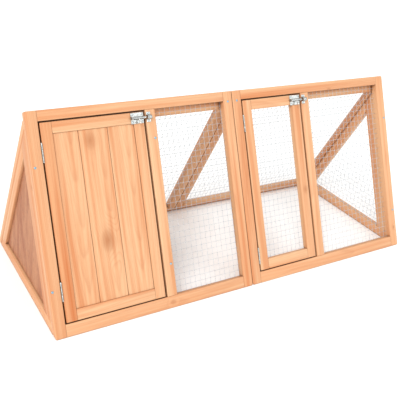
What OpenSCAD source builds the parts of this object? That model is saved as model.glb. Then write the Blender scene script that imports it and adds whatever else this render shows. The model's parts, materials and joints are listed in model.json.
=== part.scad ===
// Triangular rabbit hutch with a boarded sleeping end, a mesh run and two side-hung front doors.
// Frame: origin on the floor under the middle, +X along the ridge, the doors face -Y, +Z up.

/* [Overall] */
// Length along the ridge
length = 1180; // [980:10:1420]
// Depth on the floor, front to back
base_depth = 470; // [392:2:564]
// Height of the ridge above the floor
height = 498; // [415:1:598]

/* [Frame battens] */
// Thickness of the front and rear frames
panel_t = 20; // [16:0.5:24]
// Width of the upright battens (stiles)
stile_w = 29; // [24:1:35]
// Width of the front top rails
top_rail_w = 26; // [21:1:32]
// Width of the front and rear bottom rails
bottom_rail_w = 32; // [26:1:39]
// Width of the rear top rails on their outer face
rear_top_rail_w = 24; // [22:1:30]
// Gap between the left and right frames
panel_gap = 1.5; // [0.5:0.5:4]
// Width of the wide opening in each front frame
wide_opening = 286; // [238:2:300]

/* [End frames] */
// Thickness of the end frames along the ridge
end_t = 20; // [16:0.5:24]
// Width of the sloping end batten behind the front frame
end_front_w = 40; // [32:1:48]
// Width of the sloping end batten behind the rear frame
end_rear_w = 25; // [20:1:32]
// Height of the end bottom batten
end_bottom_w = 28; // [23:1:34]
// Depth of the grooves that hold the plywood and the mesh
groove_d = 5; // [3:0.5:7]
// Free space around what sits in a groove
groove_clear = 0.3; // [0.1:0.1:0.5]
// Setback of the plywood end from the outer face
ply_setback = 8; // [5:0.5:12]
// Plywood thickness
ply_t = 4; // [3:0.5:6]

/* [Partition] */
// Thickness of the partition board
partition_t = 6; // [4:0.5:9]
// Width of the partition battens
partition_batten_w = 28; // [23:1:34]
// Gap at the joints of the partition battens
batten_gap = 0.2; // [0.1:0.1:0.5]
// Width of the doorway between the sleeping end and the run
doorway_w = 150; // [120:5:170]
// Height of the doorway above its sill
doorway_h = 180; // [150:5:200]

/* [Wire mesh] */
// Depth of the mesh behind the outer face
mesh_setback = 14; // [11:0.5:15]
// Thickness of the mesh sheet
wire_t = 1.4; // [1:0.1:2]
// Spacing of the mesh bars
wire_pitch = 32; // [26:1:40]

/* [Doors] */
// Thickness of the door battens
door_t = 18; // [15:0.5:19]
// Width of the door stiles
door_stile_w = 29; // [24:1:35]
// Width of the door rails
door_rail_w = 28; // [23:1:34]
// Gap at the hinge edge of a door
hinge_gap = 4; // [3.4:0.1:5]
// Gap at the bolt edge of a door
latch_gap = 6; // [4:0.5:8]
// Gap above a door
door_top_gap = 4; // [2:0.5:6]
// Gap below a door
door_bottom_gap = 3; // [2:0.5:6]
// Width of the laths that the doors shut against
stop_w = 16; // [13:1:19]
// Thickness of the laths that the doors shut against
stop_t = 8; // [6:1:10]
// Distance of the laths above the bottom rail
stop_low = 37; // [20:1:60]
// Distance of the laths below the top rail
stop_high = 70; // [60:1:120]

/* [Boards] */
// Thickness of the boards
plank_t = 10; // [8:0.5:12]
// Setback of the boards from the front of their frame
plank_setback = 3; // [1.5:0.5:5]
// Width of the first door board
first_plank_w = 65; // [54:1:72]
// Width of the middle door board
middle_plank_w = 78; // [65:1:86]
// Gap between neighbouring boards
plank_gap = 0.6; // [0.4:0.1:1.5]
// Chamfer along the front edges of the boards
plank_chamfer = 1; // [0.5:0.1:2]
// Length of a board's tongue
tongue_l = 5; // [3:0.5:6]
// Thickness of a board's tongue
tongue_t = 3.2; // [2:0.1:4]
// Free space around a tongue
tongue_clear = 0.2; // [0.1:0.1:0.4]
// Number of boards at the rear
rear_board_count = 4; // [3:1:5]

/* [Hinges] */
// Length of a hinge
hinge_len = 46; // [38:1:55]
// Radius of the hinge knuckle
knuckle_r = 1.7; // [1.5:0.1:1.7]
// Radius of the hinge pin
pin_r = 0.9; // [0.7:0.05:1]
// Radial clearance of the pin
pin_clear = 0.05; // [0.02:0.01:0.1]
// Height of the pin's axis above the face of the frame
pin_proud = 0.6; // [0.4:0.1:1]
// Thickness of the head at each end of the pin
pin_head_t = 0.8; // [0.5:0.1:1.2]
// Inset of the pin's heads from the knuckle
pin_head_inset = 0.2; // [0:0.1:0.4]
// Gap between neighbouring knuckles
knuckle_gap = 0.3; // [0.2:0.1:0.6]
// Thickness of a hinge leaf
leaf_t = 1; // [0.8:0.1:1.2]
// Depth of a hinge leaf into the gap
leaf_d = 15; // [12:0.5:15]
// Gap between a leaf and the other leaf's knuckle
leaf_gap = 0.4; // [0.2:0.1:0.8]
// Solid door: upper hinge centre below the door's top edge
solid_hinge_top = 71; // [59:1:85]
// Solid door: lower hinge centre above the door's bottom edge
solid_hinge_bottom = 78; // [65:1:93]
// Mesh door: upper hinge centre below the door's top edge
mesh_hinge_top = 64; // [53:1:76]
// Mesh door: lower hinge centre above the door's bottom edge
mesh_hinge_bottom = 43; // [36:1:51]

/* [Barrel bolts] */
// Length of the bolt's base plate
plate_l = 36; // [32:1:42]
// Height of the bolt's base plate
plate_h = 28; // [25:1:30]
// Thickness of the plates and of the keeper strip
plate_t = 1.2; // [1:0.1:1.5]
// Distance of the base plate from the edges of the door
plate_edge = 1; // [0.5:0.5:2]
// Distance of the screws from the base plate's edges
plate_screw_edge = 4.3; // [4:0.1:5]
// Radius of the sliding rod
rod_r = 2.5; // [2:0.1:3]
// Radial clearance of the rod in its barrel
rod_clear = 0.05; // [0.02:0.01:0.1]
// Length of the sliding rod
rod_l = 32; // [30:1:34]
// Wall of the barrel
barrel_wall = 1.5; // [1:0.1:2]
// Depth by which the barrel is pressed into its plate
barrel_sink = 0.2; // [0.1:0.1:0.5]
// Radius of the handle's stem
stem_r = 1.6; // [1.3:0.1:1.9]
// Length of the handle's stem from the rod's axis
stem_l = 14; // [12:0.5:16]
// Free space around the stem in its slot
stem_clear = 0.35; // [0.2:0.05:0.5]
// Wall left beyond the stem's slot at the end of the barrel
slot_wall = 5; // [4:0.5:6]
// Radius of the ball on the handle
knob_r = 3.2; // [2.6:0.1:3.8]
// Angle by which the handle hangs away from the door's face
knob_tilt = 30; // [10:1:45]
// Free space around the rod in its keeper
keeper_clear = 2; // [1.8:0.1:2.4]
// Width of the keeper along the rod
keeper_w = 12; // [10:0.5:14]
// Height of the keeper strip
keeper_h = 26; // [24:0.5:31]
// Distance of the keeper from the mid stile's edge
keeper_edge = 2; // [1:0.5:3]
// Distance of a keeper screw from the rod's axis
keeper_screw_v = 9.6; // [9:0.1:12]
// Gap between the rod's tip and its keeper when drawn
tip_gap = 1; // [0.5:0.1:2]
// Travel of the rod from rest into its keeper
throw_in = 10; // [8:0.5:11]
// Travel of the rod from rest back into the barrel
throw_out = 14; // [12:0.5:15]

/* [Screws] */
// Radius of a screw head
head_r = 3; // [2.5:0.1:3.5]
// Height of a screw head
head_h = 1.4; // [1:0.1:2]
// Radius of the head's dome
dome_r = 4.8; // [4:0.1:7]
// Radius of a screw shank
shank_r = 1.4; // [1.1:0.1:1.6]
// Free space around a shank in the hole of a plate
hole_clear = 0.1; // [0.05:0.05:0.3]
// Length of a frame screw
frame_screw_l = 34; // [28:1:40]
// Length of a screw in a plate
plate_screw_l = 12; // [10:0.5:14]
// Distance of the frame screws from the outer edge of their stile
screw_edge = 8; // [6:0.5:12]
// Distance of the lower frame screws from the floor, up the slope
screw_low = 117; // [80:1:150]
// Distance of the upper frame screws from the ridge, down the slope
screw_high = 134; // [100:1:170]
// Distance of the upper partition screws from the ridge, down the slope
partition_screw_high = 101; // [85:1:120]
// Distance of the screws beside the joint of the panels from the ridge, down the slope
joint_screw_high = 28; // [20:1:60]

/* [Hidden] */
$fn = 48;

PALE_FIR = "#f4bf8d";
FIR = "#eeae79";
PLY = "#c98c6b";
ZINC = "#b9c0c4";

// The slopes
slope = atan2(height, base_depth / 2);
slant = height / sin(slope);
// The lower ends are cut flush with the floor, which moves the inner edge up by this much
flush = panel_t / tan(slope);
// The rear frames end in a bevel against the back of the front frames
rear_slant_outer = slant - panel_t / sin(2 * slope);
rear_slant_inner = slant - panel_t * tan(slope);

// Places along the ridge
x_left = -length / 2;
x_right = length / 2;
frame_l = (length - panel_gap) / 2;
narrow_opening = frame_l - 3 * stile_w - wide_opening;
solid_door_x = x_left + stile_w;
left_mid_x = solid_door_x + wide_opening;
left_window_x = left_mid_x + stile_w;
left_inner_x = left_window_x + narrow_opening;
right_inner_x = x_left + frame_l + panel_gap;
mesh_door_x = right_inner_x + stile_w;
right_mid_x = mesh_door_x + narrow_opening;
right_window_x = right_mid_x + stile_w;
right_outer_x = x_right - stile_w;

// Heights up the slope
window_v = [bottom_rail_w, slant - top_rail_w];
rear_window_v = [bottom_rail_w, rear_slant_outer - rear_top_rail_w];
door_v = [bottom_rail_w + door_bottom_gap, slant - top_rail_w - door_top_gap];

// Doors along the ridge
solid_door_xs = [solid_door_x + hinge_gap, left_mid_x - latch_gap];
mesh_door_xs = [mesh_door_x + hinge_gap, right_mid_x - latch_gap];

// Hinges: leaves stop short of the other leaf's knuckle
leaf_top = pin_proud - knuckle_r - leaf_gap;
solid_hinge_vs = [door_v[0] + solid_hinge_bottom, door_v[1] - solid_hinge_top];
mesh_hinge_vs = [door_v[0] + mesh_hinge_bottom, door_v[1] - mesh_hinge_top];

// Barrel bolts, measured from the door's latch edge
barrel_r = rod_r + rod_clear + barrel_wall;
rod_z = plate_t + barrel_r - barrel_sink;
bolt_v = door_v[1] - plate_edge - plate_h / 2;
keeper_r = rod_r + keeper_clear;
plate_x = -plate_edge - plate_l;
stem_x = plate_x + slot_wall + stem_clear + stem_r + throw_out;
rod_tip = latch_gap + keeper_edge - tip_gap;

// Partition: its battens end flush with the run side of the mid stile, and carry its board
partition_batten_x = left_window_x - end_t;
partition_x = left_window_x;

// Frame screws, as [distance along the ridge, height up the slope]
end_screws = [
  for (x = [x_left + screw_edge, x_right - screw_edge])
    for (v = [screw_low, slant - screw_high])
      [x, v]
];
partition_screws = [
  for (v = [screw_low, slant - partition_screw_high])
    [left_window_x - screw_edge, v]
];
batten_screws = concat(end_screws, partition_screws);
joint_screws = [
  for (x = [left_inner_x, right_inner_x])
    [x + stile_w / 2, slant - joint_screw_high]
];

// Overshoot of a cut past the faces that it opens
over = 1;

// Crossing point, as [y, z], of lines set in from the front face by a and from the rear face by b
function crossing_z(a, b) = (base_depth * sin(slope) - a - b) / (2 * cos(slope));
function front_y(a, z) = -base_depth / 2 + (a + z * cos(slope)) / sin(slope);
function rear_y(b, z) = base_depth / 2 - (b + z * cos(slope)) / sin(slope);
function crossing(a, b) = [front_y(a, crossing_z(a, b)), crossing_z(a, b)];
// Triangle set in from the front face, from the rear face and up from the floor
function end_triangle(a, b, z) = [[front_y(a, z), z], [rear_y(b, z), z], crossing(a, b)];

// ---- Placing ----

// Children use [along the ridge, up the slope, out of the face]
module on_front() {
  translate([0, -base_depth / 2, 0])
    rotate([slope, 0, 0])
    children();
}

module on_rear() {
  mirror([0, 1, 0])
    on_front()
    children();
}

// Outline in [y, z], extruded along the ridge
module along_ridge(x, l) {
  translate([x, 0, 0])
    rotate([90, 0, 90])
    linear_extrude(height = l)
    children();
}

// ---- Sloping frames ----

// Batten between x and x + w, from v_out on the outer face and v_in on the inner face
module batten(x, w, v_out, v_in) {
  along_ridge(x, w)
    polygon([
      [v_out[0], 0],
      [v_out[1], 0],
      [v_in[1], -panel_t],
      [v_in[0], -panel_t]
    ]);
}

// Groove for the mesh around an opening
module groove(x, w, vs) {
  d = groove_d + groove_clear;
  translate([x - d, vs[0] - d, -mesh_setback - wire_t - groove_clear / 2])
    cube([w + 2 * d, vs[1] - vs[0] + 2 * d, wire_t + groove_clear]);
}

module front_grooves() {
  groove(left_window_x, narrow_opening, window_v);
  groove(right_window_x, wide_opening, window_v);
}

module rear_grooves() {
  groove(left_window_x, narrow_opening, rear_window_v);
  groove(mesh_door_x, right_outer_x - mesh_door_x, rear_window_v);
}

module front_batten(x, w, v_out, v_in) {
  color(PALE_FIR)
    on_front()
    difference() {
      batten(x, w, v_out, v_in);
      front_grooves();
    }
}

module rear_batten(x, w, v_out, v_in) {
  color(FIR)
    on_rear()
    difference() {
      batten(x, w, v_out, v_in);
      rear_grooves();
    }
}

module front_stile(x) {
  front_batten(x, stile_w, [0, slant], [flush, slant]);
}

module front_mid_stile(x) {
  front_batten(x, stile_w, window_v, window_v);
}

module front_top_rail(x) {
  vs = [window_v[1], slant];
  front_batten(x + stile_w, frame_l - 2 * stile_w, vs, vs);
}

module front_bottom_rail(x) {
  front_batten(x + stile_w, frame_l - 2 * stile_w, [0, bottom_rail_w], [flush, bottom_rail_w]);
}

module rear_stile(x) {
  rear_batten(x, stile_w, [0, rear_slant_outer], [flush, rear_slant_inner]);
}

module rear_mid_stile(x) {
  rear_batten(x, stile_w, rear_window_v, rear_window_v);
}

module rear_top_rail(x) {
  v_out = [rear_window_v[1], rear_slant_outer];
  v_in = [rear_window_v[1], rear_slant_inner];
  rear_batten(x + stile_w, frame_l - 2 * stile_w, v_out, v_in);
}

module rear_bottom_rail(x) {
  rear_batten(x + stile_w, frame_l - 2 * stile_w, [0, bottom_rail_w], [flush, bottom_rail_w]);
}

// ---- End frames and partition ----

// Bottom batten between the front and rear frames
module cross_bottom(x, h) {
  along_ridge(x, end_t)
    polygon([
      [front_y(panel_t, 0), 0],
      [rear_y(panel_t, 0), 0],
      [rear_y(panel_t, h), h],
      [front_y(panel_t, h), h]
    ]);
}

// Sloping batten of width w behind the front frame, on top of the bottom batten
module cross_front(x, w, h) {
  inner = panel_t + w;
  along_ridge(x, end_t)
    polygon([
      [front_y(panel_t, h), h],
      [front_y(inner, h), h],
      crossing(inner, panel_t),
      crossing(panel_t, panel_t)
    ]);
}

// Sloping batten of width w behind the rear frame, against the front one of width front_w
module cross_rear(x, w, front_w, h) {
  inner = panel_t + w;
  along_ridge(x, end_t)
    polygon([
      [rear_y(panel_t, h), h],
      crossing(panel_t + front_w, panel_t),
      crossing(panel_t + front_w, inner),
      [rear_y(inner, h), h]
    ]);
}

// Triangular infill of the end frames, let into them by the given depth
module end_infill(depth) {
  polygon(end_triangle(
    panel_t + end_front_w - depth,
    panel_t + end_rear_w - depth,
    end_bottom_w - depth
  ));
}

module left_end_groove() {
  along_ridge(x_left + ply_setback - groove_clear / 2, ply_t + groove_clear)
    end_infill(groove_d + groove_clear);
}

module right_end_groove() {
  along_ridge(x_right - mesh_setback - groove_clear / 2, wire_t + groove_clear)
    end_infill(groove_d + groove_clear);
}

module left_end_piece() {
  color(FIR)
    difference() {
      children();
      left_end_groove();
    }
}

module right_end_piece() {
  color(FIR)
    difference() {
      children();
      right_end_groove();
    }
}

module left_end_panel() {
  color(PLY)
    along_ridge(x_left + ply_setback, ply_t)
    end_infill(groove_d);
}

module partition_panel() {
  color(PLY)
    difference() {
      along_ridge(partition_x, partition_t)
        polygon(end_triangle(panel_t, panel_t, 0));
      along_ridge(partition_x - over, partition_t + 2 * over)
        doorway_outline();
    }
}

// Doorway with a round top
module doorway_outline() {
  spring = end_bottom_w + doorway_h - doorway_w / 2;
  translate([-doorway_w / 2, end_bottom_w])
    square([doorway_w, spring - end_bottom_w]);
  translate([0, spring])
    circle(r = doorway_w / 2);
}

module partition_battens() {
  low = end_bottom_w + batten_gap;
  color(FIR) {
    cross_bottom(partition_batten_x, end_bottom_w);
    cross_front(partition_batten_x, partition_batten_w, low);
    cross_rear(partition_batten_x, partition_batten_w, partition_batten_w + batten_gap, low);
  }
}

// ---- Wire mesh ----

// Even cells over a rectangle w by h
module cells(w, h) {
  nx = max(1, round(w / wire_pitch));
  ny = max(1, round(h / wire_pitch));
  px = w / nx;
  py = h / ny;
  for (i = [0 : nx - 1])
    for (j = [0 : ny - 1])
      translate([i * px + wire_t / 2, j * py + wire_t / 2])
      square([px - wire_t, py - wire_t]);
}

// Mesh sheet over an opening, with its edges let into the grooves
module mesh_sheet(x, w, vs) {
  h = vs[1] - vs[0];
  color(ZINC)
    translate([x, vs[0], -mesh_setback - wire_t])
    linear_extrude(height = wire_t)
    difference() {
      translate([-groove_d, -groove_d])
        square([w + 2 * groove_d, h + 2 * groove_d]);
      cells(w, h);
    }
}

module right_end_mesh() {
  opening = end_triangle(panel_t + end_front_w, panel_t + end_rear_w, end_bottom_w);
  color(ZINC)
    along_ridge(x_right - mesh_setback, wire_t)
    difference() {
      end_infill(groove_d);
      intersection() {
        polygon(opening);
        translate(opening[0])
          cells(opening[1][0] - opening[0][0], opening[2][1] - end_bottom_w);
      }
    }
}

// ---- Boards ----

// Board from x to x + w, with a groove on its left side and a tongue on its right side
module plank(x, w, vs, has_groove, has_tongue) {
  top = -plank_setback;
  low = top - plank_t;
  mid = (top + low) / 2;
  t = tongue_t / 2;
  g = t + tongue_clear;
  gl = tongue_l + tongue_clear;
  right = has_tongue
    ? [[x + w, mid + t], [x + w + tongue_l, mid + t], [x + w + tongue_l, mid - t], [x + w, mid - t]]
    : [];
  left = has_groove
    ? [[x, mid - g], [x + gl, mid - g], [x + gl, mid + g], [x, mid + g]]
    : [];
  front = [
    [x, top - plank_chamfer], [x + plank_chamfer, top],
    [x + w - plank_chamfer, top], [x + w, top - plank_chamfer]
  ];
  outline = concat(front, right, [[x + w, low], [x, low]], left);
  translate([0, vs[1], 0])
    rotate([90, 0, 0])
    linear_extrude(height = vs[1] - vs[0])
    polygon(outline);
}

module rear_boards() {
  last = rear_board_count - 1;
  w = (wide_opening - last * plank_gap) / rear_board_count;
  color(FIR)
    on_rear()
    for (i = [0 : last])
      plank(solid_door_x + i * (w + plank_gap), w, rear_window_v, i > 0, i < last);
}

// ---- Doors ----

function inner_xs(xs) = [xs[0] + door_stile_w, xs[1] - door_stile_w];
inner_vs = [door_v[0] + door_rail_w, door_v[1] - door_rail_w];
plank_x = inner_xs(solid_door_xs)[0];
plank_end = inner_xs(solid_door_xs)[1];
middle_plank_x = plank_x + first_plank_w + plank_gap;
last_plank_x = middle_plank_x + middle_plank_w + plank_gap;

// Batten of a door. The groove for the mesh crosses only the battens of the mesh door
module door_batten(xs, vs) {
  color(PALE_FIR)
    on_front()
    difference() {
      translate([xs[0], vs[0], -door_t])
        cube([xs[1] - xs[0], vs[1] - vs[0], door_t]);
      mesh_door_groove();
    }
}

module mesh_door_groove() {
  xs = inner_xs(mesh_door_xs);
  groove(xs[0], xs[1] - xs[0], inner_vs);
}

module hinge_stile(xs) {
  door_batten([xs[0], xs[0] + door_stile_w], door_v);
}

module latch_stile(xs) {
  door_batten([xs[1] - door_stile_w, xs[1]], door_v);
}

module door_top_rail(xs) {
  door_batten(inner_xs(xs), [inner_vs[1], door_v[1]]);
}

module door_bottom_rail(xs) {
  door_batten(inner_xs(xs), [door_v[0], inner_vs[0]]);
}

module door_plank(x, w, has_groove, has_tongue) {
  color(FIR)
    on_front()
    plank(x, w, inner_vs, has_groove, has_tongue);
}

module mesh_door_mesh() {
  xs = inner_xs(mesh_door_xs);
  on_front()
    mesh_sheet(xs[0], xs[1] - xs[0], inner_vs);
}

// Laths behind the mid stiles that the doors shut against
module door_stops() {
  low = window_v[0] + stop_low;
  high = window_v[1] - stop_high;
  color(FIR)
    on_front()
    for (x = [left_mid_x, right_mid_x])
      translate([x - stop_w / 2, low, -panel_t - stop_t])
      cube([stop_w, high - low, stop_t]);
}

// ---- Hinges ----

// Knuckle from v to v + l around the pin axis at x
module knuckle(x, v, l) {
  translate([x, v, pin_proud])
    rotate([-90, 0, 0])
    difference() {
      cylinder(h = l, r = knuckle_r);
      translate([0, 0, -over])
        cylinder(h = l + 2 * over, r = pin_r + pin_clear);
    }
}

// Strip that joins a knuckle to its leaf on the given side of the pin
module knuckle_tab(x, side, v, l) {
  inner = hinge_gap / 2 - leaf_t;
  difference() {
    translate([side < 0 ? x - hinge_gap / 2 : x + inner, v, leaf_top])
      cube([leaf_t, l, pin_proud - leaf_top]);
    translate([x, v - over, pin_proud])
      rotate([-90, 0, 0])
      cylinder(h = l + 2 * over, r = pin_r + pin_clear);
  }
}

module leaf(x, side, v) {
  inner = hinge_gap / 2 - leaf_t;
  translate([side < 0 ? x - hinge_gap / 2 : x + inner, v - hinge_len / 2, leaf_top - leaf_d])
    cube([leaf_t, hinge_len, leaf_d]);
}

third = hinge_len / 3;

// The frame's half of a hinge holds the two outer knuckles
module frame_half(x, v) {
  union() {
    leaf(x, -1, v);
    for (start = [v - hinge_len / 2, v + third / 2]) {
      knuckle(x, start, third);
      knuckle_tab(x, -1, start, third);
    }
  }
}

// The door's half of a hinge holds the middle knuckle
module door_half(x, v) {
  start = v - third / 2 + knuckle_gap;
  union() {
    leaf(x, 1, v);
    knuckle(x, start, third - 2 * knuckle_gap);
    knuckle_tab(x, 1, start, third - 2 * knuckle_gap);
  }
}

solid_pin_x = solid_door_x + hinge_gap / 2;
mesh_pin_x = mesh_door_x + hinge_gap / 2;

module frame_hinge_leaves() {
  color(ZINC)
    on_front() {
      for (v = solid_hinge_vs)
        frame_half(solid_pin_x, v);
      for (v = mesh_hinge_vs)
        frame_half(mesh_pin_x, v);
    }
}

module door_hinge_leaves(x, vs) {
  color(ZINC)
    on_front()
    for (v = vs)
      door_half(x, v);
}

// Pin with a flat head at each end
module pin(x, v) {
  head_radius = knuckle_r - pin_head_inset;
  translate([x, v - hinge_len / 2 - pin_head_t, pin_proud])
    rotate([-90, 0, 0])
    union() {
      cylinder(h = hinge_len + 2 * pin_head_t, r = pin_r);
      cylinder(h = pin_head_t, r = head_radius);
      translate([0, 0, hinge_len + pin_head_t])
        cylinder(h = pin_head_t, r = head_radius);
    }
}

module hinge_pins() {
  color(ZINC)
    on_front() {
      for (v = solid_hinge_vs)
        pin(solid_pin_x, v);
      for (v = mesh_hinge_vs)
        pin(mesh_pin_x, v);
    }
}

// ---- Barrel bolts ----

// Children use the door's latch edge at bolt height as their origin
module at_bolt(xs) {
  on_front()
    translate([xs[1], bolt_v, 0])
    children();
}

// Place of the four plate screws
module plate_corners() {
  across = plate_l / 2 - plate_screw_edge;
  up = plate_h / 2 - plate_screw_edge;
  for (i = [-1, 1])
    for (j = [-1, 1])
      translate([plate_x + plate_l / 2 + i * across, j * up, 0])
      children();
}

module bolt_plate(xs) {
  slot_r = stem_r + stem_clear;
  color(ZINC)
    at_bolt(xs)
    difference() {
      union() {
        translate([plate_x, -plate_h / 2, 0])
          cube([plate_l, plate_h, plate_t]);
        translate([plate_x, 0, rod_z])
          rotate([0, 90, 0])
          cylinder(h = plate_l, r = barrel_r);
      }
      translate([plate_x - over, 0, rod_z])
        rotate([0, 90, 0])
        cylinder(h = plate_l + 2 * over, r = rod_r + rod_clear);
      translate([plate_x + slot_wall, 0, rod_z])
        rotate([-knob_tilt, 0, 0])
        translate([0, -barrel_r - over, -slot_r])
        cube([throw_in + throw_out + 2 * slot_r, barrel_r + over, 2 * slot_r]);
      plate_corners()
        translate([0, 0, -over])
        cylinder(h = plate_t + 2 * over, r = shank_r + hole_clear);
    }
}

module bolt(xs) {
  color(ZINC)
    at_bolt(xs)
    translate([0, 0, rod_z])
    union() {
      translate([rod_tip - rod_l, 0, 0])
        rotate([0, 90, 0])
        cylinder(h = rod_l, r = rod_r);
      translate([stem_x, 0, 0])
        rotate([90 - knob_tilt, 0, 0]) {
          cylinder(h = stem_l, r = stem_r);
          translate([0, 0, stem_l])
            sphere(r = knob_r);
        }
    }
}

// Staple on the mid stile that the rod shoots into
module keeper(xs) {
  outer = keeper_r + plate_t;
  at_bolt(xs)
    translate([latch_gap + keeper_edge, 0, 0])
    difference() {
      rotate([90, 0, 90])
        linear_extrude(height = keeper_w)
        difference() {
          union() {
            translate([-keeper_h / 2, 0])
              square([keeper_h, plate_t]);
            translate([-outer, 0])
              square([2 * outer, rod_z]);
            translate([0, rod_z])
              circle(r = outer);
          }
          translate([0, rod_z])
            circle(r = keeper_r);
          translate([-keeper_r, -over])
            square([2 * keeper_r, rod_z + over]);
        }
      for (j = [-1, 1])
        translate([keeper_w / 2, j * keeper_screw_v, -over])
        cylinder(h = plate_t + 2 * over, r = shank_r + hole_clear);
    }
}

module bolt_keepers() {
  color(ZINC) {
    keeper(solid_door_xs);
    keeper(mesh_door_xs);
  }
}

// ---- Screws ----

// Round-headed screw, with the underside of its head at the origin
module screw(l) {
  union() {
    intersection() {
      cylinder(h = head_h, r = head_r);
      translate([0, 0, head_h - dome_r])
        sphere(r = dome_r);
    }
    translate([0, 0, -l])
      cylinder(h = l + head_h / 2, r = shank_r);
  }
}

module frame_screws() {
  color(ZINC) {
    on_front()
      for (p = concat(batten_screws, joint_screws))
        translate([p[0], p[1], 0])
        screw(frame_screw_l);
    on_rear()
      for (p = batten_screws)
        translate([p[0], p[1], 0])
        screw(frame_screw_l);
  }
}

module bolt_screws(xs) {
  color(ZINC)
    at_bolt(xs)
    plate_corners()
    translate([0, 0, plate_t])
    screw(plate_screw_l);
}

module keeper_screws() {
  color(ZINC)
    for (xs = [solid_door_xs, mesh_door_xs])
      at_bolt(xs)
      for (j = [-1, 1])
        translate([latch_gap + keeper_edge + keeper_w / 2, j * keeper_screw_v, plate_t])
        screw(plate_screw_l);
}

// ---- Nodes ----

front_stile(x_left);  // front_left_outer_stile
front_mid_stile(left_mid_x);  // front_left_mid_stile
front_stile(left_inner_x);  // front_left_inner_stile
front_top_rail(x_left);  // front_left_top_rail
front_bottom_rail(x_left);  // front_left_bottom_rail
front_stile(right_inner_x);  // front_right_inner_stile
front_mid_stile(right_mid_x);  // front_right_mid_stile
front_stile(right_outer_x);  // front_right_outer_stile
front_top_rail(right_inner_x);  // front_right_top_rail
front_bottom_rail(right_inner_x);  // front_right_bottom_rail
rear_stile(x_left);  // rear_left_outer_stile
rear_mid_stile(left_mid_x);  // rear_left_mid_stile
rear_stile(left_inner_x);  // rear_left_inner_stile
rear_top_rail(x_left);  // rear_left_top_rail
rear_bottom_rail(x_left);  // rear_left_bottom_rail
rear_stile(right_inner_x);  // rear_right_inner_stile
rear_stile(right_outer_x);  // rear_right_outer_stile
rear_top_rail(right_inner_x);  // rear_right_top_rail
rear_bottom_rail(right_inner_x);  // rear_right_bottom_rail
left_end_piece() cross_front(x_left, end_front_w, end_bottom_w);  // left_end_front_batten
left_end_piece() cross_rear(x_left, end_rear_w, end_front_w, end_bottom_w);  // left_end_rear_batten
left_end_piece() cross_bottom(x_left, end_bottom_w);  // left_end_bottom_batten
left_end_panel();
right_end_piece() cross_front(x_right - end_t, end_front_w, end_bottom_w);  // right_end_front_batten
right_end_piece() cross_rear(x_right - end_t, end_rear_w, end_front_w, end_bottom_w);  // right_end_rear_batten
right_end_piece() cross_bottom(x_right - end_t, end_bottom_w);  // right_end_bottom_batten
right_end_mesh();
rear_boards();
partition_panel();
partition_battens();
on_front() mesh_sheet(left_window_x, narrow_opening, window_v);  // front_left_mesh
on_front() mesh_sheet(right_window_x, wide_opening, window_v);  // front_right_mesh
on_rear() mesh_sheet(left_window_x, narrow_opening, rear_window_v);  // rear_left_mesh
on_rear() mesh_sheet(mesh_door_x, right_outer_x - mesh_door_x, rear_window_v);  // rear_right_mesh
hinge_stile(solid_door_xs);  // solid_door_hinge_stile
latch_stile(solid_door_xs);  // solid_door_latch_stile
door_top_rail(solid_door_xs);  // solid_door_top_rail
door_bottom_rail(solid_door_xs);  // solid_door_bottom_rail
door_plank(plank_x, first_plank_w, false, true);  // solid_door_plank_left
door_plank(middle_plank_x, middle_plank_w, true, true);  // solid_door_plank_middle
door_plank(last_plank_x, plank_end - last_plank_x, true, false);  // solid_door_plank_right
door_hinge_leaves(solid_pin_x, solid_hinge_vs);  // solid_door_hinge_leaves
bolt_plate(solid_door_xs);  // solid_door_bolt_plate
bolt_screws(solid_door_xs);  // solid_door_bolt_screws
bolt(solid_door_xs);  // solid_door_bolt
hinge_stile(mesh_door_xs);  // mesh_door_hinge_stile
latch_stile(mesh_door_xs);  // mesh_door_latch_stile
door_top_rail(mesh_door_xs);  // mesh_door_top_rail
door_bottom_rail(mesh_door_xs);  // mesh_door_bottom_rail
mesh_door_mesh();
door_hinge_leaves(mesh_pin_x, mesh_hinge_vs);  // mesh_door_hinge_leaves
bolt_plate(mesh_door_xs);  // mesh_door_bolt_plate
bolt_screws(mesh_door_xs);  // mesh_door_bolt_screws
bolt(mesh_door_xs);  // mesh_door_bolt
frame_hinge_leaves();
hinge_pins();
bolt_keepers();
keeper_screws();
frame_screws();
door_stops();
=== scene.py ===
"""Looks of a triangular rabbit hutch: fir frames, boarded door, plywood end and welded mesh."""

import json
import math
from random import Random

import bmesh
import bpy
from mathutils import Matrix, Vector
from mathutils.geometry import convex_hull_2d


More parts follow.
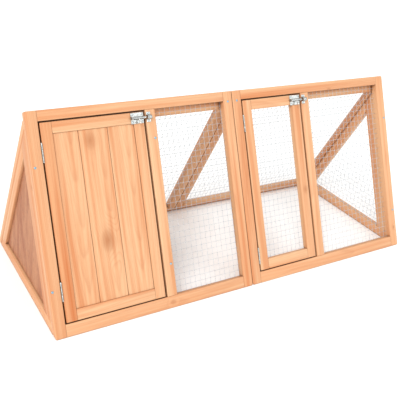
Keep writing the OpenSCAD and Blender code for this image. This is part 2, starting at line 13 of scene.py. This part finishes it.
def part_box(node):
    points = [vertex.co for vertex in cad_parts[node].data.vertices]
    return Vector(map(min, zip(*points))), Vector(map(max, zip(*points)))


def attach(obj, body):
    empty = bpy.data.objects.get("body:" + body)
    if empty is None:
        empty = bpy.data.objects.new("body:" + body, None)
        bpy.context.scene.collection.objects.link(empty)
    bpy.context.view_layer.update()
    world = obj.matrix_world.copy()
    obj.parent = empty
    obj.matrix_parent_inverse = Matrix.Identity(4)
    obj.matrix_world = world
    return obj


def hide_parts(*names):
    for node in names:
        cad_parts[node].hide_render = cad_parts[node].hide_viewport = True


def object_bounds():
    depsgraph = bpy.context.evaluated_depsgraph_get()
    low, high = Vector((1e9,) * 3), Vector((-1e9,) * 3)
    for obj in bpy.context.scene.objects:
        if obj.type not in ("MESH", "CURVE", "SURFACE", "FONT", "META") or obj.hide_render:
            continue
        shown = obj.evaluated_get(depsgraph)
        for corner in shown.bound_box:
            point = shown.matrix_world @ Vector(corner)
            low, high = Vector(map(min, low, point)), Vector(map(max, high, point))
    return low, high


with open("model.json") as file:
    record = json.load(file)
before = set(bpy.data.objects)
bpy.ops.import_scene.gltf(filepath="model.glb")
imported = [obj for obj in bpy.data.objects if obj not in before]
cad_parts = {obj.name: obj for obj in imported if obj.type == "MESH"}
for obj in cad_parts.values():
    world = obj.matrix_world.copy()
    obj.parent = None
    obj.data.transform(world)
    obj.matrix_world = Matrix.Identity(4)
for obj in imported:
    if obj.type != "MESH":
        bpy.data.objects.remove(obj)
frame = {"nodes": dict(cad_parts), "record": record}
cad_low, cad_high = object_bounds()

MM = 0.001
NODES = frame["nodes"]
BODY_OF = {n: b for b, members in frame["record"]["behaviour"]["bodies"].items() for n in members}

# The slopes: along the ridge, up each slope, and out of each face
SLOPE = math.atan2(cad_high.z, cad_high.y)
RIDGE = Vector((1, 0, 0))
UP_FRONT = Vector((0, math.cos(SLOPE), math.sin(SLOPE)))
OUT_FRONT = Vector((0, -math.sin(SLOPE), math.cos(SLOPE)))
UP_REAR = Vector((0, -math.cos(SLOPE), math.sin(SLOPE)))
OUT_REAR = Vector((0, math.sin(SLOPE), math.cos(SLOPE)))


# ---- Colours and nodes ----


def srgb(code):
    """Linear colour of an sRGB hex value."""
    channels = [int(code[i : i + 2], 16) / 255 for i in (1, 3, 5)]
    return [c / 12.92 if c <= 0.04045 else ((c + 0.055) / 1.055) ** 2.4 for c in channels] + [1.0]


def between(a, b, share):
    """Linear colour between two hex values."""
    return [x + (y - x) * share for x, y in zip(srgb(a), srgb(b))]


def add(tree, kind, inputs=None, stops=None, **settings):
    """A shader node with its settings. An input is a value, or another node's output to link."""
    node = tree.nodes.new("ShaderNode" + kind)
    for name, value in settings.items():
        setattr(node, name, value)
    for socket, value in (inputs or {}).items():
        if isinstance(value, bpy.types.NodeSocket):
            tree.links.new(value, node.inputs[socket])
        else:
            node.inputs[socket].default_value = value
    if stops:
        ramp = node.color_ramp
        while len(ramp.elements) < len(stops):
            ramp.elements.new(0.5)
        for element, (place, value) in zip(ramp.elements, stops):
            element.position = place
            element.color = (value, value, value, 1)
    return node


# Sockets of the Mix node for colours
MIX_A, MIX_B, MIX_OUT = 6, 7, 2


def blank(name):
    """A new material, and its empty node tree."""
    material = bpy.data.materials.new(name)
    material.use_nodes = True
    material.node_tree.nodes.clear()
    return material, material.node_tree


def surface(tree, **inputs):
    """Ends a material in a Principled surface. Names of inputs have _ for a space."""
    named = {name.replace("_", " "): value for name, value in inputs.items()}
    shader = add(tree, "BsdfPrincipled", named)
    add(tree, "OutputMaterial", {"Surface": shader.outputs["BSDF"]})


# ---- Wood ----

PALE = "#d7aa80"
HONEY = "#cf9669"
ORANGE = "#c27846"
LATE = "#ae683d"
KNOT = "#a56639"
# Dark brown of the painted shade in seams, gaps and corners
SHADE_BROWN = "#5e2f14"
RING_W = 2.6 * MM
RING_SHARE = 0.24
FIBRE_SHARE = 0.22
END_GRAIN_SHARE = 0.35
# Reach of the painted shade in the wood's seams, gaps and corners
SEAM_SHADE_REACH = 9 * MM
PLY_FACE = "#b47c57"
PLY_BAND = "#9a5d3b"
PLY_PORE = "#683b24"
PLY_MIDDLE = "#875a3e"
# Reach of the painted shade on the plywood
PLY_SHADE_REACH = 12 * MM


def with_painted_shade(tree, colour, reach, shade_colour=SHADE_BROWN, most=0.85):
    """A colour with painted shade, darker where other surfaces are within reach of it."""
    open_air = add(tree, "AmbientOcclusion", {"Distance": reach}, samples=6).outputs["AO"]
    share = add(tree, "MapRange", {0: open_air, 1: 0.2, 2: 0.82, 3: most, 4: 0.0}).outputs[0]
    return add(
        tree, "Mix", {0: share, MIX_A: colour, MIX_B: srgb(shade_colour)}, data_type="RGBA"
    ).outputs[MIX_OUT]


def fir(name, grain, out, pith, tone, knots=(), boards=None):
    """Softwood planed smooth and stained honey. The eye gets straight growth rings with narrow
    dark late wood, wider orange streaks along the grain, darker cut ends, and painted shade, dark
    brown, in the seams, gaps and corners. pith is a point on the tree's axis. tone runs from 0,
    pale, to 1, orange. knots lists (centre, radius, strength), and boards is the (start, width)
    of boards side by side along the ridge."""
    material, tree = blank(name)
    side = out.cross(grain).normalized()
    turn = Matrix((grain, side, grain.cross(side)))
    coordinates = add(tree, "TexCoord")
    place = coordinates.outputs["Object"]
    local = add(
        tree, "Mapping",
        {"Vector": place, "Rotation": turn.to_euler(), "Location": -(turn @ pith)},
    ).outputs["Vector"]
    if boards:  # each board is cut from another place in the tree
        x = add(tree, "SeparateXYZ", {0: place}).outputs["X"]
        from_start = add(tree, "Math", {0: x, 1: boards[0]}, operation="SUBTRACT").outputs[0]
        number = add(tree, "Math", {0: from_start, 1: boards[1]}, operation="DIVIDE").outputs[0]
        whole = add(tree, "Math", {0: number}, operation="FLOOR").outputs[0]
        jump = add(tree, "TexWhiteNoise", {"W": whole}, noise_dimensions="1D").outputs["Color"]
        local = add(
            tree, "VectorMath", {0: jump, 1: (1.0, 0.06, 0.02), 2: local},
            operation="MULTIPLY_ADD",
        ).outputs[0]

    # The rings wander a few millimetres along the batten
    slow = add(tree, "Mapping", {"Vector": local, "Scale": (3, 18, 18)}).outputs["Vector"]
    wander = add(tree, "TexNoise", {"Vector": slow, "Scale": 1.0, "Detail": 2.0}).outputs["Color"]
    bent = add(
        tree, "VectorMath", {0: wander, 1: (0, 9 * MM, 9 * MM), 2: local}, operation="MULTIPLY_ADD"
    ).outputs[0]
    flat = add(tree, "VectorMath", {0: bent, 1: (0, 1, 1)}, operation="MULTIPLY").outputs[0]
    radius = add(tree, "VectorMath", {0: flat}, operation="LENGTH").outputs["Value"]

    # Rings bulge round a knot. Its heart is a soft darker brown
    hearts = []
    for centre, size, strength in knots:
        middle = turn @ (centre - pith)
        away = add(tree, "VectorMath", {0: local, 1: middle}, operation="SUBTRACT").outputs[0]
        uneven = add(
            tree, "VectorMath", {0: wander, 1: (0, 0.5 * size, 0.5 * size), 2: away},
            operation="MULTIPLY_ADD",
        ).outputs[0]
        oval = add(
            tree, "VectorMath", {0: uneven, 1: (0.66, 1, 0)}, operation="MULTIPLY"
        ).outputs[0]
        metres = add(tree, "VectorMath", {0: oval}, operation="LENGTH").outputs["Value"]
        span = add(tree, "Math", {0: metres, 1: size}, operation="DIVIDE").outputs[0]
        swell = add(
            tree, "MapRange", {0: span, 1: 0.1, 2: 3.0, 3: 0.7 * size, 4: 0.0},
            interpolation_type="SMOOTHSTEP",
        ).outputs[0]
        radius = add(tree, "Math", {0: radius, 1: swell}, operation="ADD").outputs[0]
        half_span = add(tree, "Math", {0: span, 1: 2.0}, operation="DIVIDE").outputs[0]
        heart = add(
            tree, "ValToRGB", {0: half_span},
            stops=[(0, 0.9), (0.25, 0.62), (0.42, 0.42), (0.6, 0.12), (0.95, 0.0)],
        ).outputs["Color"]
        hearts.append(add(tree, "Math", {0: heart, 1: strength}, operation="MULTIPLY").outputs[0])
    count = add(tree, "Math", {0: radius, 1: RING_W}, operation="DIVIDE").outputs[0]
    saw = add(tree, "Math", {0: count}, operation="FRACT").outputs[0]
    rings = add(
        tree, "ValToRGB", {0: saw}, stops=[(0, 0.0), (0.5, 0.12), (0.86, 1.0), (1, 0.0)]
    ).outputs["Color"]

    # Streaks 10 to 20 mm wide, and fibres half a millimetre wide
    long = add(tree, "Mapping", {"Vector": local, "Scale": (1.3, 62, 62)}).outputs["Vector"]
    streak = add(tree, "TexNoise", {"Vector": long, "Scale": 1.0, "Detail": 4.0}).outputs["Fac"]
    streaks = add(tree, "MapRange", {0: streak, 1: 0.41, 2: 0.64}).outputs[0]
    fine = add(tree, "Mapping", {"Vector": local, "Scale": (25, 900, 900)}).outputs["Vector"]
    fibres = add(tree, "TexNoise", {"Vector": fine, "Scale": 1.0, "Detail": 3.0}).outputs["Fac"]

    light = between(PALE, HONEY, 1.3 * tone - 0.2)
    dark = between(HONEY, ORANGE, 0.35 + tone)
    colour = add(tree, "Mix", {0: streaks, MIX_A: light, MIX_B: dark}, data_type="RGBA")
    ring_share = add(tree, "Math", {0: rings, 1: RING_SHARE}, operation="MULTIPLY").outputs[0]
    colour = add(
        tree, "Mix", {0: ring_share, MIX_A: colour.outputs[MIX_OUT], MIX_B: srgb(LATE)},
        data_type="RGBA",
    )
    fibre_share = add(
        tree, "MapRange", {0: fibres, 1: 0.45, 2: 0.8, 3: 0.0, 4: FIBRE_SHARE}
    ).outputs[0]
    colour = add(
        tree, "Mix", {0: fibre_share, MIX_A: colour.outputs[MIX_OUT], MIX_B: srgb(LATE)},
        data_type="RGBA",
    )
    for heart in hearts:
        colour = add(
            tree, "Mix", {0: heart, MIX_A: colour.outputs[MIX_OUT], MIX_B: srgb(KNOT)},
            data_type="RGBA",
        )
    facing = add(
        tree, "VectorMath", {0: coordinates.outputs["Normal"], 1: grain}, operation="DOT_PRODUCT"
    ).outputs["Value"]
    square = add(tree, "Math", {0: facing, 1: facing}, operation="MULTIPLY").outputs[0]
    ends = add(
        tree, "MapRange", {0: square, 1: 0.5, 2: 0.95, 3: 0.0, 4: END_GRAIN_SHARE}
    ).outputs[0]
    colour = add(
        tree, "Mix", {0: ends, MIX_A: colour.outputs[MIX_OUT], MIX_B: srgb(LATE)},
        data_type="RGBA",
    )

    # Painted shade: the wood darkens to brown in seams, gaps and corners
    colour = with_painted_shade(tree, colour.outputs[MIX_OUT], SEAM_SHADE_REACH)

    rough = add(tree, "MapRange", {0: fibres, 3: 0.46, 4: 0.66}).outputs[0]
    relief = add(tree, "Math", {0: rings, 1: fibres}, operation="ADD").outputs[0]
    bump = add(tree, "Bump", {"Height": relief, "Strength": 0.3, "Distance": 0.12 * MM})
    surface(tree, Base_Color=colour, Roughness=rough, Normal=bump.outputs["Normal"])
    return material


def plywood(name, thickness_from, thickness):
    """Sanded plywood with a reddish rotary-cut face. The eye gets short dark pores in drifting
    bands up the sheet, and three plies on a cut edge, the middle one darker."""
    material, tree = blank(name)
    place = add(tree, "TexCoord").outputs["Object"]
    bands = add(tree, "Mapping", {"Vector": place, "Scale": (1, 34, 5)}).outputs["Vector"]
    band = add(
        tree, "TexNoise", {"Vector": bands, "Scale": 1.0, "Detail": 5.0, "Distortion": 0.6}
    ).outputs["Fac"]
    short = add(tree, "Mapping", {"Vector": place, "Scale": (1, 620, 70)}).outputs["Vector"]
    pore = add(tree, "TexNoise", {"Vector": short, "Scale": 1.0, "Detail": 2.0}).outputs["Fac"]
    band_share = add(tree, "MapRange", {0: band, 1: 0.35, 2: 0.65}).outputs[0]
    pore_share = add(tree, "MapRange", {0: pore, 1: 0.52, 2: 0.7, 3: 0.0, 4: 0.6}).outputs[0]
    colour = add(
        tree, "Mix", {0: band_share, MIX_A: srgb(PLY_FACE), MIX_B: srgb(PLY_BAND)},
        data_type="RGBA",
    )
    colour = add(
        tree, "Mix", {0: pore_share, MIX_A: colour.outputs[MIX_OUT], MIX_B: srgb(PLY_PORE)},
        data_type="RGBA",
    )
    x = add(tree, "SeparateXYZ", {0: place}).outputs["X"]
    depth = add(
        tree, "MapRange", {0: x, 1: thickness_from, 2: thickness_from + thickness}
    ).outputs[0]
    middle = add(
        tree, "ValToRGB", {0: depth}, stops=[(0.3, 0.0), (0.34, 1.0), (0.66, 1.0), (0.7, 0.0)]
    ).outputs["Color"]
    ply_share = add(tree, "Math", {0: middle, 1: 0.5}, operation="MULTIPLY").outputs[0]
    colour = add(
        tree, "Mix", {0: ply_share, MIX_A: colour.outputs[MIX_OUT], MIX_B: srgb(PLY_MIDDLE)},
        data_type="RGBA",
    )
    # Painted shade: darker brown in the plywood's corners and along the battens
    colour = with_painted_shade(tree, colour.outputs[MIX_OUT], PLY_SHADE_REACH)
    bump = add(tree, "Bump", {"Height": pore, "Strength": 0.25, "Distance": 0.1 * MM})
    surface(tree, Base_Color=colour, Roughness=0.62, Normal=bump.outputs["Normal"])
    return material


# ---- Metal ----

# Painted shade in the hardware's corners: its colour and its reach
METAL_SHADE_COLOUR = "#2b2a27"
METAL_SHADE_REACH = 2.5 * MM


def plated(name, light, dark, grain_mm, roughness, metallic=1.0, corner_shade=0.0):
    """Steel under a thin coat of zinc. The eye gets a soft grey shine in patches of two greys,
    grain_mm wide, that blur the reflections unevenly, and painted shade darkening the corners."""
    material, tree = blank(name)
    place = add(tree, "TexCoord").outputs["Object"]
    patch = add(
        tree, "TexNoise", {"Vector": place, "Scale": 1 / (grain_mm * MM), "Detail": 3.0}
    ).outputs["Fac"]
    share = add(tree, "MapRange", {0: patch, 1: 0.35, 2: 0.65}).outputs[0]
    colour = add(
        tree, "Mix", {0: share, MIX_A: srgb(light), MIX_B: srgb(dark)}, data_type="RGBA"
    ).outputs[MIX_OUT]
    # Painted shade darkens the corners
    if corner_shade:
        colour = with_painted_shade(tree, colour, METAL_SHADE_REACH, METAL_SHADE_COLOUR, corner_shade)
    rough = add(
        tree, "MapRange", {0: patch, 3: roughness - 0.08, 4: roughness + 0.08}
    ).outputs[0]
    bump = add(tree, "Bump", {"Height": patch, "Strength": 0.15, "Distance": 0.05 * MM})
    surface(
        tree, Base_Color=colour, Metallic=metallic, Roughness=rough, Normal=bump.outputs["Normal"]
    )
    return material


WIRE = plated("galvanised_wire", "#c5cbcf", "#adb3b8", 5, 0.5, metallic=0.4)
# The last setting of each below is the strength of the painted shade in its corners
HARDWARE = plated("zinc_plated_sheet", "#c9cdcc", "#9fa3a0", 3, 0.3, corner_shade=0.9)
SCREW = plated("blue_zinc_screw", "#a9cbde", "#7fa3b8", 1.5, 0.3, corner_shade=0.2)
PLATE_SCREW = plated("bright_zinc_screw", "#dbe4e4", "#b3bdbe", 1.5, 0.28, corner_shade=0.7)
ROD = plated("bright_zinc_rod", "#e6e4e0", "#c9c8c4", 4, 0.25, corner_shade=0.6)


# ---- Reading shapes from the frame ----


def islands(node):
    """The separate solids of a CAD node, as lists of points."""
    mesh = NODES[node].data
    keys = [tuple(round(c, 6) for c in v.co) for v in mesh.vertices]
    parent = {k: k for k in keys}

    def root(k):
        while parent[k] != k:
            parent[k] = parent[parent[k]]
            k = parent[k]
        return k

    for edge in mesh.edges:
        a, b = (root(keys[i]) for i in edge.vertices)
        parent[max(a, b)] = min(a, b)
    groups = {}
    for k in sorted(parent):
        groups.setdefault(root(k), []).append(Vector(k))
    return [groups[k] for k in sorted(groups)]


def finished(name, bm, node, material, smooth=True):
    """Turns a bmesh into a piece that rides where its CAD node does, and takes its place."""
    mesh = bpy.data.meshes.new(name)
    bm.to_mesh(mesh)
    bm.free()
    if smooth:
        mesh.shade_smooth()
    mesh.materials.append(material)
    piece = bpy.data.objects.new(name, mesh)
    bpy.context.scene.collection.objects.link(piece)
    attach(piece, BODY_OF[node])
    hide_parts(node)
    return piece


# ---- Battens ----

EDGE_ROUND = 1.3 * MM
CORNER_ROUND = 4.5 * MM

# Tone of the battens that stand out; the rest vary a little by chance
TONES = {
    "solid_door_hinge_stile": 1.0,
    "solid_door_latch_stile": 0.3,
    "solid_door_top_rail": 0.2,
    "solid_door_bottom_rail": 0.3,
    "front_left_outer_stile": 0.3,
    "front_left_top_rail": 0.35,
    "front_left_bottom_rail": 0.2,
    "front_left_mid_stile": 0.1,
    "front_left_inner_stile": 0.4,
    "front_right_top_rail": 0.45,
    "front_right_bottom_rail": 0.15,
    "front_right_outer_stile": 0.42,
    "front_right_mid_stile": 0.3,
    "left_end_front_batten": 0.9,
    "left_end_rear_batten": 0.2,
    "mesh_door_hinge_stile": 0.05,
    "mesh_door_bottom_rail": 0.25,
}


def hull(points):
    """Convex bmesh around points, with flat faces joined up."""
    bm = bmesh.new()
    for p in points:
        bm.verts.new(p)
    made = bmesh.ops.convex_hull(bm, input=bm.verts)
    inside = [g for g in made["geom_interior"] if isinstance(g, bmesh.types.BMVert)]
    bmesh.ops.delete(bm, geom=inside, context="VERTS")
    bmesh.ops.dissolve_limit(
        bm, angle_limit=math.radians(0.5), verts=bm.verts, edges=bm.edges, delimit=set()
    )
    bmesh.ops.recalc_face_normals(bm, faces=bm.faces)
    return bm


def direction(edge):
    return (edge.verts[1].co - edge.verts[0].co).normalized()


def rounded(bm, edges, radius, segments):
    bmesh.ops.bevel(
        bm, geom=edges, offset=radius, segments=segments, profile=0.5, affect="EDGES",
        clamp_overlap=True,
    )


def planed(node, chance, outer_side=0, knots=()):
    """Batten with softly rounded arrises, one piece for each solid of the node. On outer_side,
    -1 left or 1 right, its end corners are rounded over by hand."""
    solids = islands(node)
    for number, points in enumerate(solids):
        bm = hull(points)
        longest = max(bm.edges, key=lambda e: e.calc_length())
        grain = direction(longest)
        out = max(bm.faces, key=lambda f: f.calc_area()).normal.copy()
        out = (out - grain * out.dot(grain)).normalized()
        centre = sum((v.co for v in bm.verts), Vector()) / len(bm.verts)
        if outer_side:
            corners = [
                e for e in bm.edges
                if abs(direction(e).x) < 0.1
                and abs(direction(e).dot(grain)) < 0.9
                and (e.verts[0].co.x - centre.x) * outer_side > 0
            ]
            rounded(bm, corners, CORNER_ROUND, 5)
        arrises = [e for e in bm.edges if e.is_manifold and e.calc_face_angle() > math.radians(25)]
        rounded(bm, arrises, EDGE_ROUND, 3)
        name = f"{node}_{number + 1}" if len(solids) > 1 else node + "_planed"
        tone = TONES.get(node, chance.uniform(0.1, 0.45))
        tilt = Vector([chance.uniform(-1, 1) for _ in range(3)]) * 0.012
        away = out.cross(grain) * chance.uniform(-30, 30) - out * chance.uniform(12, 55)
        material = fir(
            "fir_" + name, (grain + tilt).normalized(), out, centre + away * MM, tone, knots
        )
        finished(name, bm, node, material)


# ---- Boards ----


def dress(node, material, edge=0.0):
    """Gives a CAD node its material, and breaks its sharp edges."""
    piece = NODES[node]
    piece.data.materials.clear()
    piece.data.materials.append(material)
    if edge:
        weld = piece.modifiers.new("weld", "WELD")
        weld.merge_threshold = 0.001 * MM
        bevel = piece.modifiers.new("edges", "BEVEL")
        bevel.width = edge
        bevel.segments = 2
        bevel.limit_method = "ANGLE"
        bevel.angle_limit = math.radians(35)
        bevel.harden_normals = True


# ---- Welded mesh ----

WIRE_R = 0.42 * MM
CELL = 16 * MM
WIRE_SIDES = 6
WIRE_WAVE = 0.2 * MM


def chord(outline, axis, value):
    """Where the line at value on one axis (0 or 1) enters and leaves a convex outline."""
    other = 1 - axis
    hits = []
    for a, b in zip(outline, outline[1:] + outline[:1]):
        if (a[axis] - value) * (b[axis] - value) < 0:
            share = (value - a[axis]) / (b[axis] - a[axis])
            hits.append(a[other] + share * (b[other] - a[other]))
    return min(hits), max(hits)


def tube(bm, points, side, radius):
    """Closed tube of WIRE_SIDES sides along nearly straight points. side points across it."""
    along = (points[-1] - points[0]).normalized()
    b = along.cross(side).normalized()
    a = b.cross(along)
    spokes = [
        a * math.cos(math.tau * i / WIRE_SIDES) + b * math.sin(math.tau * i / WIRE_SIDES)
        for i in range(WIRE_SIDES)
    ]
    rings = [[bm.verts.new(p + s * radius) for s in spokes] for p in points]
    for low, high in zip(rings, rings[1:]):
        for i in range(WIRE_SIDES):
            j = (i + 1) % WIRE_SIDES
            bm.faces.new((low[i], low[j], high[j], high[i]))
    bm.faces.new(list(reversed(rings[0])))
    bm.faces.new(rings[-1])


def welded_mesh(node, across, up, chance):
    """Square mesh of round wires, welded where they cross and let into the frame's grooves."""
    out = across.cross(up)
    points = islands(node)[0]
    depth = sum(p.dot(out) for p in points) / len(points)
    flat = [Vector((p.dot(across), p.dot(up))) for p in points]
    outline = [flat[i] for i in convex_hull_2d(flat)]
    bm = bmesh.new()
    for axis, offset in ((0, -0.8 * WIRE_R), (1, 0.8 * WIRE_R)):
        low = min(p[axis] for p in outline)
        high = max(p[axis] for p in outline)
        place = low + chance.uniform(0.3, 0.7) * CELL
        while place < high - 0.2 * CELL:
            start, end = chord(outline, axis, place)
            start += WIRE_R
            end -= WIRE_R
            steps = max(2, round((end - start) / (CELL / 2)))
            path = []
            for i in range(steps + 1):
                along = start + (end - start) * i / steps
                inner = 0 if i in (0, steps) else 1
                aside = place + inner * chance.uniform(-WIRE_WAVE, WIRE_WAVE)
                lift = depth + offset + inner * chance.uniform(-0.4, 0.4) * WIRE_R
                a, u = (aside, along) if axis == 0 else (along, aside)
                path.append(across * a + up * u + out * lift)
            if end - start > CELL / 4:
                tube(bm, path, out, WIRE_R)
            place += CELL
    finished(node + "_wires", bm, node, WIRE)


# ---- Screws ----

HEAD_TURNS = 32
HEAD_RINGS = [0.0, 0.12, 0.24, 0.36, 0.48, 0.6, 0.66, 0.78, 0.88, 0.95, 1.0]
CROSS_REACH = 0.62
CROSS_HALF = 0.15


def head_height(r, angle, height):
    """Height of a pan head at r, as a share of its radius, with its cross recess."""
    dome = height * math.sqrt(max(0.0, 1 - 0.86 * r * r))
    off_arm = min(abs(r * math.sin(angle)), abs(r * math.cos(angle)))
    if r < CROSS_REACH and off_arm < CROSS_HALF:
        return dome - 0.55 * height * (1 - 0.5 * r / CROSS_REACH)
    return dome


def cross_screws(node, out_of, chance, material=SCREW):
    """Pan-head screws with a cross recess and a tapered shank, one for each solid of the node."""
    bm = bmesh.new()
    for points in islands(node):
        out = out_of(points)
        top = max(p.dot(out) for p in points)
        axis_points = [p for p in points if p.dot(out) < min(q.dot(out) for q in points) + 0.1 * MM]
        axis = sum(axis_points, Vector()) / len(axis_points)
        axis -= out * axis.dot(out)
        radius = max((p - out * p.dot(out) - axis).length for p in points)
        rim = min(
            p.dot(out) for p in points if (p - out * p.dot(out) - axis).length > 0.9 * radius
        )
        low = min(p.dot(out) for p in points)
        u = RIDGE
        v = out.cross(u)
        turn = chance.uniform(0, math.tau / 4)
        height = top - rim

        def ring(size, level, recess=False):
            loop = []
            for i in range(HEAD_TURNS):
                angle = math.tau * i / HEAD_TURNS
                lift = head_height(size, angle, height) if recess else level
                spread = size * radius
                spoke = u * math.cos(angle + turn) + v * math.sin(angle + turn)
                loop.append(bm.verts.new(axis + out * (rim + lift) + spoke * spread))
            return loop

        loops = [ring(r, 0, True) for r in HEAD_RINGS[1:]]
        loops += [ring(1.0, 0), ring(0.46, 0), ring(0.4, 0.6 * (low - rim)), ring(0.06, low - rim)]
        peak = bm.verts.new(axis + out * (rim + head_height(0, 0, height)))
        for i in range(HEAD_TURNS):
            bm.faces.new((peak, loops[0][i], loops[0][(i + 1) % HEAD_TURNS]))
        for inner, outer in zip(loops, loops[1:]):
            for i in range(HEAD_TURNS):
                j = (i + 1) % HEAD_TURNS
                bm.faces.new((inner[i], outer[i], outer[j], inner[j]))
        bm.faces.new(list(reversed(loops[-1])))
    bmesh.ops.recalc_face_normals(bm, faces=bm.faces)
    finished(node + "_cross_heads", bm, node, material, smooth=False)


def front_or_rear(points):
    return OUT_FRONT if points[0].y < 0 else OUT_REAR


def from_front(_points):
    return OUT_FRONT


# ---- The hutch ----

chance = Random(7)

# Knots on a node, as (mm along the ridge, mm up its slope, radius in mm, strength)
KNOTS = {
    "solid_door_plank_middle": [(24, 406, 15, 0.85), (37, 153, 18, 0.95)],
    "left_end_front_batten": [(0, 330, 4, 1.0)],
    "mesh_door_latch_stile": [(14, 212, 8, 0.7)],
    "front_right_outer_stile": [(17, 60, 4, 0.9)],
    "front_left_bottom_rail": [(300, 14, 5, 0.7)],
    "front_right_top_rail": [(330, 12, 5, 0.6)],
}


def knots_on(node):
    """Knots of a front node, placed from the lower left corner of its face."""
    low, _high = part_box(node)
    return [
        (low + (RIDGE * right + UP_FRONT * up) * MM, size * MM, strength)
        for right, up, size, strength in KNOTS.get(node, [])
    ]


for node in sorted(NODES):
    if not node.endswith(("stile", "rail", "batten", "battens", "stops")):
        continue
    outer_side = 0
    if "stile" in node and node.startswith(("front", "rear")) and "mid" not in node:
        left = ("left_outer", "right_inner")
        outer_side = -1 if any(word in node for word in left) else 1
    planed(node, chance, outer_side, knots_on(node))

PLANK_TONES = {"left": 0.35, "middle": 0.3, "right": 0.2}
PLANK_TILT = 0.03
for side, tone in PLANK_TONES.items():
    node = "solid_door_plank_" + side
    low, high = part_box(node)
    pith = (low + high) / 2 - OUT_FRONT * chance.uniform(22, 40) * MM
    pith += RIDGE * chance.uniform(-12, 12) * MM
    grain = (UP_FRONT + OUT_FRONT * PLANK_TILT).normalized()
    dress(node, fir("fir_" + node, grain, OUT_FRONT, pith, tone, knots_on(node)), 0.3 * MM)

low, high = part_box("rear_boards")
board_w = (high.x - low.x) / 4
rear_pith = (low + high) / 2 - OUT_REAR * 30 * MM
dress(
    "rear_boards",
    fir("fir_rear_boards", UP_REAR, OUT_REAR, rear_pith, 0.3, boards=(low.x, board_w)),
    0.3 * MM,
)
for node in ("left_end_panel", "partition_panel"):
    low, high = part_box(node)
    dress(node, plywood("plywood_" + node, low.x, high.x - low.x), 0.3 * MM)

for node in ("front_left_mesh", "front_right_mesh", "mesh_door_mesh"):
    welded_mesh(node, RIDGE, UP_FRONT, chance)
for node in ("rear_left_mesh", "rear_right_mesh"):
    welded_mesh(node, -RIDGE, UP_REAR, chance)
welded_mesh("right_end_mesh", Vector((0, 1, 0)), Vector((0, 0, 1)), chance)

cross_screws("frame_screws", front_or_rear, chance)
for node in ("keeper_screws", "solid_door_bolt_screws", "mesh_door_bolt_screws"):
    cross_screws(node, from_front, chance, PLATE_SCREW)
for node in (
    "frame_hinge_leaves", "solid_door_hinge_leaves", "mesh_door_hinge_leaves",
    "bolt_keepers", "solid_door_bolt_plate", "mesh_door_bolt_plate",
):
    dress(node, HARDWARE, 0.15 * MM)
for node in ("hinge_pins", "solid_door_bolt", "mesh_door_bolt"):
    dress(node, ROD, 0.15 * MM)

# ---- Studio ----

SUN_STRENGTH = 1.4
SUN_SPREAD = math.radians(26)
SUN_TRAVEL = Vector((0.55, 0.40, -0.73))
WORLD_STRENGTH = 1.0
FLOOR_GAP = 0.5 * MM
FLOOR_HALF = 20

def studio_floor():
    """Painted board floor, almost white and matt, with a very faint mottle."""
    bm = bmesh.new()
    bmesh.ops.create_grid(bm, x_segments=8, y_segments=8, size=FLOOR_HALF)
    mesh = bpy.data.meshes.new("studio_floor")
    bm.to_mesh(mesh)
    bm.free()
    material, tree = blank("white_painted_floor")
    place = add(tree, "TexCoord").outputs["Object"]
    mottle = add(tree, "TexNoise", {"Vector": place, "Scale": 3.0, "Detail": 2.0}).outputs["Fac"]
    colour = add(
        tree, "Mix", {0: mottle, MIX_A: srgb("#fbfbfa"), MIX_B: srgb("#f8f8f7")},
        data_type="RGBA",
    )
    surface(tree, Base_Color=colour.outputs[MIX_OUT], Roughness=0.9)
    mesh.materials.append(material)
    floor = bpy.data.objects.new("studio_floor", mesh)
    floor.location.z = -FLOOR_GAP
    bpy.context.scene.collection.objects.link(floor)


def softbox(name, place, target, size, power):
    """Square area light at place, turned to target."""
    light = bpy.data.lights.new(name, "AREA")
    light.shape = "SQUARE"
    light.size = size
    light.energy = power
    lamp = bpy.data.objects.new(name, light)
    lamp.location = place
    lamp.rotation_euler = (Vector(target) - Vector(place)).to_track_quat("-Z", "Y").to_euler()
    bpy.context.scene.collection.objects.link(lamp)


studio_floor()
centre = (cad_low + cad_high) / 2
sun = bpy.data.lights.new("high_key", "SUN")
sun.energy = SUN_STRENGTH
sun.angle = SUN_SPREAD
key = bpy.data.objects.new("high_key", sun)
key.rotation_euler = SUN_TRAVEL.to_track_quat("-Z", "Y").to_euler()
bpy.context.scene.collection.objects.link(key)
softbox("left_softbox", (-2.6, -1.6, 1.2), centre, 1.6, 16)
softbox("right_softbox", (1.8, -2.6, 1.4), centre, 1.6, 14)

world = bpy.data.worlds.new("studio")
world.use_nodes = True
world.node_tree.nodes["Background"].inputs["Color"].default_value = (1, 1, 1, 1)
world.node_tree.nodes["Background"].inputs["Strength"].default_value = WORLD_STRENGTH
bpy.context.scene.world = world
bpy.context.scene.view_settings.view_transform = "Standard"

# ---- Camera ----

CAMERA_PLACE = Vector((-1.0238, -1.3245, 1.0432))
YAW, PITCH, ROLL = (math.radians(a) for a in (31.419, 26.441, 5.822))
LENS = 56.41
SHIFT_X, SHIFT_Y = 0.1102, -0.0623

view = Vector(
    (math.sin(YAW) * math.cos(PITCH), math.cos(YAW) * math.cos(PITCH), -math.sin(PITCH))
)
level = Vector((math.cos(YAW), -math.sin(YAW), 0))
upright = level.cross(view)
right = level * math.cos(ROLL) + upright * math.sin(ROLL)
camera_up = upright * math.cos(ROLL) - level * math.sin(ROLL)
camera = bpy.data.objects.new("camera", bpy.data.cameras.new("camera"))
camera.data.lens = LENS
camera.data.sensor_width = 36
camera.data.shift_x = SHIFT_X
camera.data.shift_y = SHIFT_Y
camera.matrix_world = Matrix.Translation(CAMERA_PLACE) @ Matrix(
    (right, camera_up, -view)
).transposed().to_4x4()
bpy.context.scene.collection.objects.link(camera)
bpy.context.scene.camera = camera
